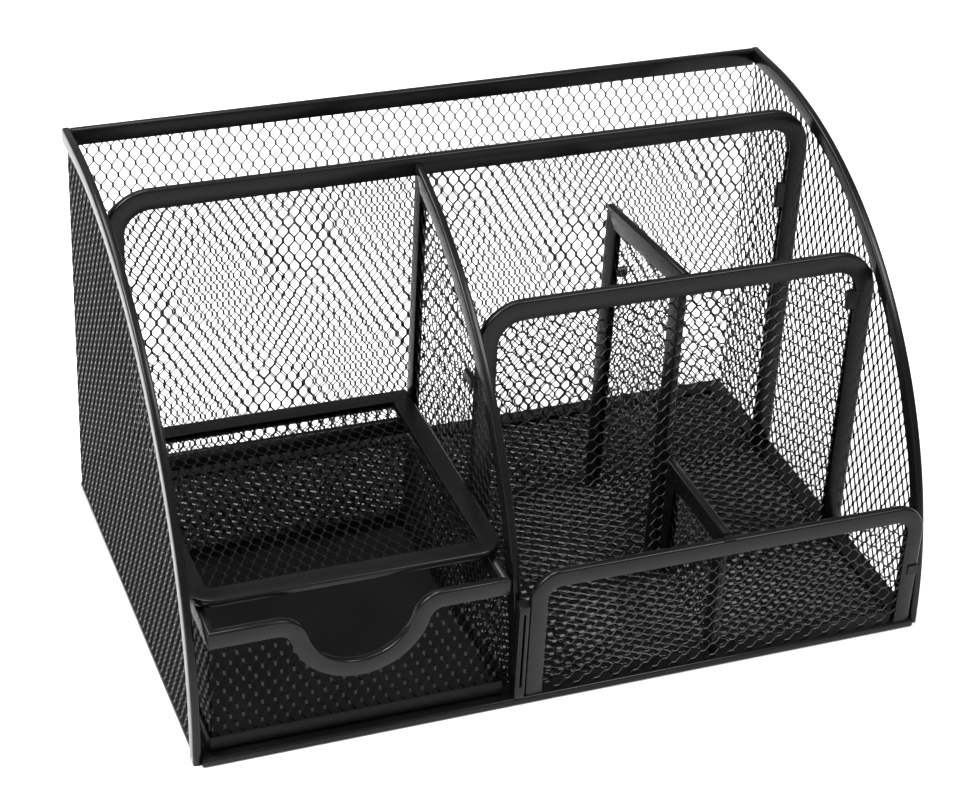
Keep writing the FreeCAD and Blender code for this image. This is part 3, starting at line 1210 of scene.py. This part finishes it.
@dataclass
class FootClip:
    """The folded clip round the foot of the centre divider's front edge."""

    strip: FoldedStrip = FoldedStrip(thickness=3.2 * MM, gauge=0.4 * MM, fold_radius=0.7 * MM)
    slot_width: float = 0.7 * MM
    slot_foot: float = 4.0 * MM
    cap_height: float = 2.4 * MM

    def build(self, shop: Workshop) -> None:
        """Makes the clip: two flanges, joined by a cap and a foot with a slot between.

        Args:
            shop: What it is made from.
        """
        box = Extent.of("divider_foot_clip")
        edge = Outline((Bend(box.low.y, box.low.z), Bend(box.low.y, box.high.z)))
        clip = self.strip.run("foot_clip", edge, box.size.y)
        half = self.slot_width / 2
        low, high = box.low.z + self.slot_foot, box.high.z - self.cap_height
        front = box.low.y + MERGE
        with editing(clip):
            for point, way in ((half * Z, Z), (-half * Z, Z), (low * Y, Y), (high * Y, Y)):
                cut(point, way, keep=True)
            pick(clip, "FACE", lambda co: co.x < front and abs(co.z) < half and low < co.y < high)
            bpy.ops.mesh.delete(type="FACE")
            pick(clip, "EDGE", lambda co: co.y > box.high.z - MERGE)
            bpy.ops.mesh.edge_face_add()
            bpy.ops.mesh.select_all(action="SELECT")
            bpy.ops.mesh.normals_make_consistent(inside=False)
        shop.hand_over(moved(self.strip.thickened(clip), facing_side(box.centre.x)),
                       Slot.EDGING, Body.STAND, "divider_foot_clip")


@dataclass
class Drawer:
    """The sliding drawer: a pan of plain sheet, mesh walls, and strip along their tops."""

    band: float = 5.0 * MM
    scoop_depth: float = 18.0 * MM
    scoop_radius: float = 15.3 * MM
    shoulder_radius: float = 9.0 * MM
    pan_gauge: float = 0.5 * MM
    pan_fold: float = 0.9 * MM
    pan_fold_steps: int = 3

    def build(self, shop: Workshop) -> None:
        """Makes the pan and the four walls.

        Args:
            shop: What it is made from.
        """
        self.pan(shop)
        for side, inside in (("front", Y), ("back", -Y), ("left", X), ("right", -X)):
            self.wall(shop, side, inside)

    def pan(self, shop: Workshop) -> None:
        """Folds the pan up from its floor.

        Args:
            shop: What it is made from.
        """
        box = Extent.of("drawer_pan")
        deselect_all()
        bpy.ops.mesh.primitive_cube_add(size=1, location=box.centre)
        pan = bpy.context.object
        pan.name = "drawer_floor_pan"
        pan.scale = box.size
        settle(pan)
        with editing(pan, "FACE"):
            pick(pan, "FACE", lambda co: co.z > box.high.z - MERGE)
            bpy.ops.mesh.delete(type="FACE")
            bpy.ops.mesh.select_all(action="SELECT")
            bpy.ops.mesh.normals_make_consistent(inside=False)
            pick(pan, "EDGE", lambda co: co.z < box.high.z - MERGE)
            self.select_upright(pan)
            bpy.ops.mesh.bevel(offset=self.pan_fold, segments=self.pan_fold_steps)
        shop.hand_over(folded_steel(pan, self.pan_gauge), Slot.PAN, Body.DRAWER, "drawer_pan")

    @staticmethod
    def select_upright(pan: Piece) -> None:
        """Adds the four upright edges to what is selected.

        Args:
            pan: The pan, in edit mode.
        """
        mesh = bmesh.from_edit_mesh(pan.data)
        for edge in mesh.edges:
            first, second = (vert.co for vert in edge.verts)
            if abs(first.z - second.z) > MERGE:
                edge.select_set(True)
        bmesh.update_edit_mesh(pan.data)

    def wave(self, left: float, right: float, top: float) -> Outline:
        """The front's top line, which dips in a finger scoop.

        Args:
            left: The drawer's left side.
            right: Its right side.
            top: The front's height.

        Returns:
            The outline, from left to right.
        """
        middle = (left + right) / 2
        rise = self.scoop_radius - self.scoop_depth + self.shoulder_radius
        spread = self.scoop_radius + self.shoulder_radius
        half = math.sqrt(spread ** 2 - rise ** 2)
        turn = math.atan2(rise, half)
        reach = half - self.shoulder_radius * math.tan((math.pi / 2 - turn) / 2)
        dip = top - self.scoop_depth + self.scoop_radius - self.scoop_radius / math.sin(turn)
        return Outline((Bend(left, top), Bend(middle - reach, top, self.shoulder_radius),
                        Bend(middle, dip, self.scoop_radius),
                        Bend(middle + reach, top, self.shoulder_radius), Bend(right, top)))

    def wall(self, shop: Workshop, side: str, inside: Vector) -> None:
        """Makes one wall's sheet and strip.

        Args:
            shop: What it is made from.
            side: The wall's side, as its nodes are named.
            inside: Where the drawer's inside lies.
        """
        whole = Extent.of("drawer_pan")
        rim = Extent.of("drawer_" + side + "_edging")
        foot = Extent.of("drawer_" + side + "_mesh").low.z
        axis = 0 if inside.y else 1
        along = (X, Y)[axis]
        place = facing_front(rim.centre.y) if inside.y else facing_side(rim.centre.x)
        left, right, top = whole.low[axis], whole.high[axis], rim.high.z
        straight = Outline((Bend(left, top), Bend(right, top)))
        outline = self.wave(left, right, top) if side == "front" else straight
        strip = moved(shop.strip.run("drawer_" + side + "_strip", outline, self.band), place)
        with editing(strip):
            for way in (-along, along):
                out = way - inside
                corner = Vector([(whole.high if out[i] > 0 else whole.low)[i] for i in (0, 1, 2)])
                cut(corner, way + inside)
        shop.hand_over(shop.strip.thickened(strip),
                       Slot.EDGING, Body.DRAWER, "drawer_" + side + "_edging")
        half = shop.strip.thickness / 2
        low = Vector((left + half, foot, 0))
        high = Vector((right - half, top - shop.sheet_inset, 0))
        lay = Lay.UPRIGHT_TURNED if inside.y else Lay.UPRIGHT
        sheet = shop.stock.blank("drawer_" + side + "_diamonds", low, high, lay, low)
        if side == "front":
            shop.stock.scoop(sheet, outline, shop.sheet_inset)
        shop.hand_over_sheet(sheet, place, "drawer_" + side, Body.DRAWER)


# Studio

@dataclass(frozen=True)
class Softbox:
    """One soft light."""

    name: str
    place: tuple[float, float, float]
    aim: tuple[float, float, float]
    size: float
    power: float
    spread: float = 180

    def build(self) -> None:
        """Hangs the light and turns it to what it lights."""
        deselect_all()
        bpy.ops.object.light_add(type="AREA", location=self.place)
        light = bpy.context.object
        light.name = self.name
        light.data.shape = "DISK"
        light.data.size = self.size
        light.data.energy = self.power
        light.data.spread = math.radians(self.spread)
        ray = Vector(self.aim) - Vector(self.place)
        light.rotation_euler = ray.to_track_quat("-Z", "Y").to_euler()


@dataclass(frozen=True)
class Studio:
    """Pale floor, soft light and the photograph's camera."""

    camera_place: tuple[float, float, float] = (-0.24298, -0.58733, 0.45934)
    camera_turn: tuple[float, float, float] = (57.582, -2.811, -20.509)
    lens: float = 94.9
    sensor_width: float = 36.0
    nearest: float = 10 * MM
    floor_size: float = 6.0
    paper: tuple[float, float, float] = (0.93, 0.93, 0.93)
    paper_roughness: float = 0.9
    daylight: float = 0.45
    lights: tuple[Softbox, ...] = (
        Softbox("left_softbox", place=(-1.0, -0.1, 0.9), aim=(-0.15, 0, 0), size=0.6, power=12),
        Softbox("front_softbox", place=(0.48, -0.42, 1.05), aim=(0.05, -0.1, 0), size=0.5,
                power=11),
        Softbox("rear_softbox", place=(-0.2, 0.5, 1.2), aim=(0.05, 0.25, 0), size=0.5, power=11),
        Softbox("left_floor_softbox", place=(-0.6, 0.05, 0.8), aim=(-0.2, 0.05, 0), size=0.35,
                power=1.8, spread=60),
    )

    def build(self) -> None:
        """Sets up the floor, the world, the lights and the camera."""
        floor = square("studio_floor", self.floor_size)
        paper = bpy.data.materials.new("white_paper")
        paper.use_nodes = True
        shader = paper.node_tree.nodes["Principled BSDF"]
        shader.inputs["Base Color"].default_value = (*self.paper, 1)
        shader.inputs["Roughness"].default_value = self.paper_roughness
        floor.data.materials.append(paper)
        world = bpy.data.worlds.new("studio_white")
        world.use_nodes = True
        sky = world.node_tree.nodes["Background"]
        sky.inputs["Color"].default_value = (1, 1, 1, 1)
        sky.inputs["Strength"].default_value = self.daylight
        bpy.context.scene.world = world
        bpy.context.scene.view_settings.view_transform = "Standard"
        for light in self.lights:
            light.build()
        deselect_all()
        bpy.ops.object.camera_add(location=self.camera_place,
                                  rotation=[math.radians(angle) for angle in self.camera_turn])
        camera = bpy.context.object
        camera.name = "photo_camera"
        camera.data.lens = self.lens
        camera.data.sensor_width = self.sensor_width
        camera.data.sensor_fit = "HORIZONTAL"
        camera.data.clip_start = self.nearest
        bpy.context.scene.camera = camera


def main() -> None:
    """Builds the organizer and its studio in order."""
    logging.basicConfig(level=logging.INFO, format="%(message)s")
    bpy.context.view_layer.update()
    Studio().build()
    shop = Workshop()
    shop.mix_coats()
    parts = (
        OuterShell(),
        CrossPanel("middle_panel", corner=13.5 * MM, band=6.0 * MM, lay=Lay.UPRIGHT,
                   bond=(-1.96 * MM, 79.8 * MM, 0)),
        CrossPanel("upper_front", corner=13.5 * MM, band=6.0 * MM, lay=Lay.LEVEL,
                   bond=(61 * MM, 52 * MM, 0)),
        CrossPanel("lower_front", corner=9.0 * MM, band=5.0 * MM, lay=Lay.LEVEL,
                   bond=(61 * MM, 3 * MM, 0)),
        CentreDivider(),
        PenDivider("rear_divider", band=6.0 * MM, fall=1.4 * MM, front_is_right=True),
        PenDivider("front_divider", band=6.0 * MM, fall=5.5 * MM, front_is_right=False),
        Shelf(),
        FootClip(),
        Drawer(),
    )
    for part in parts:
        part.build(shop)
    shop.coat_packed()


if __name__ == "__main__":
    main()
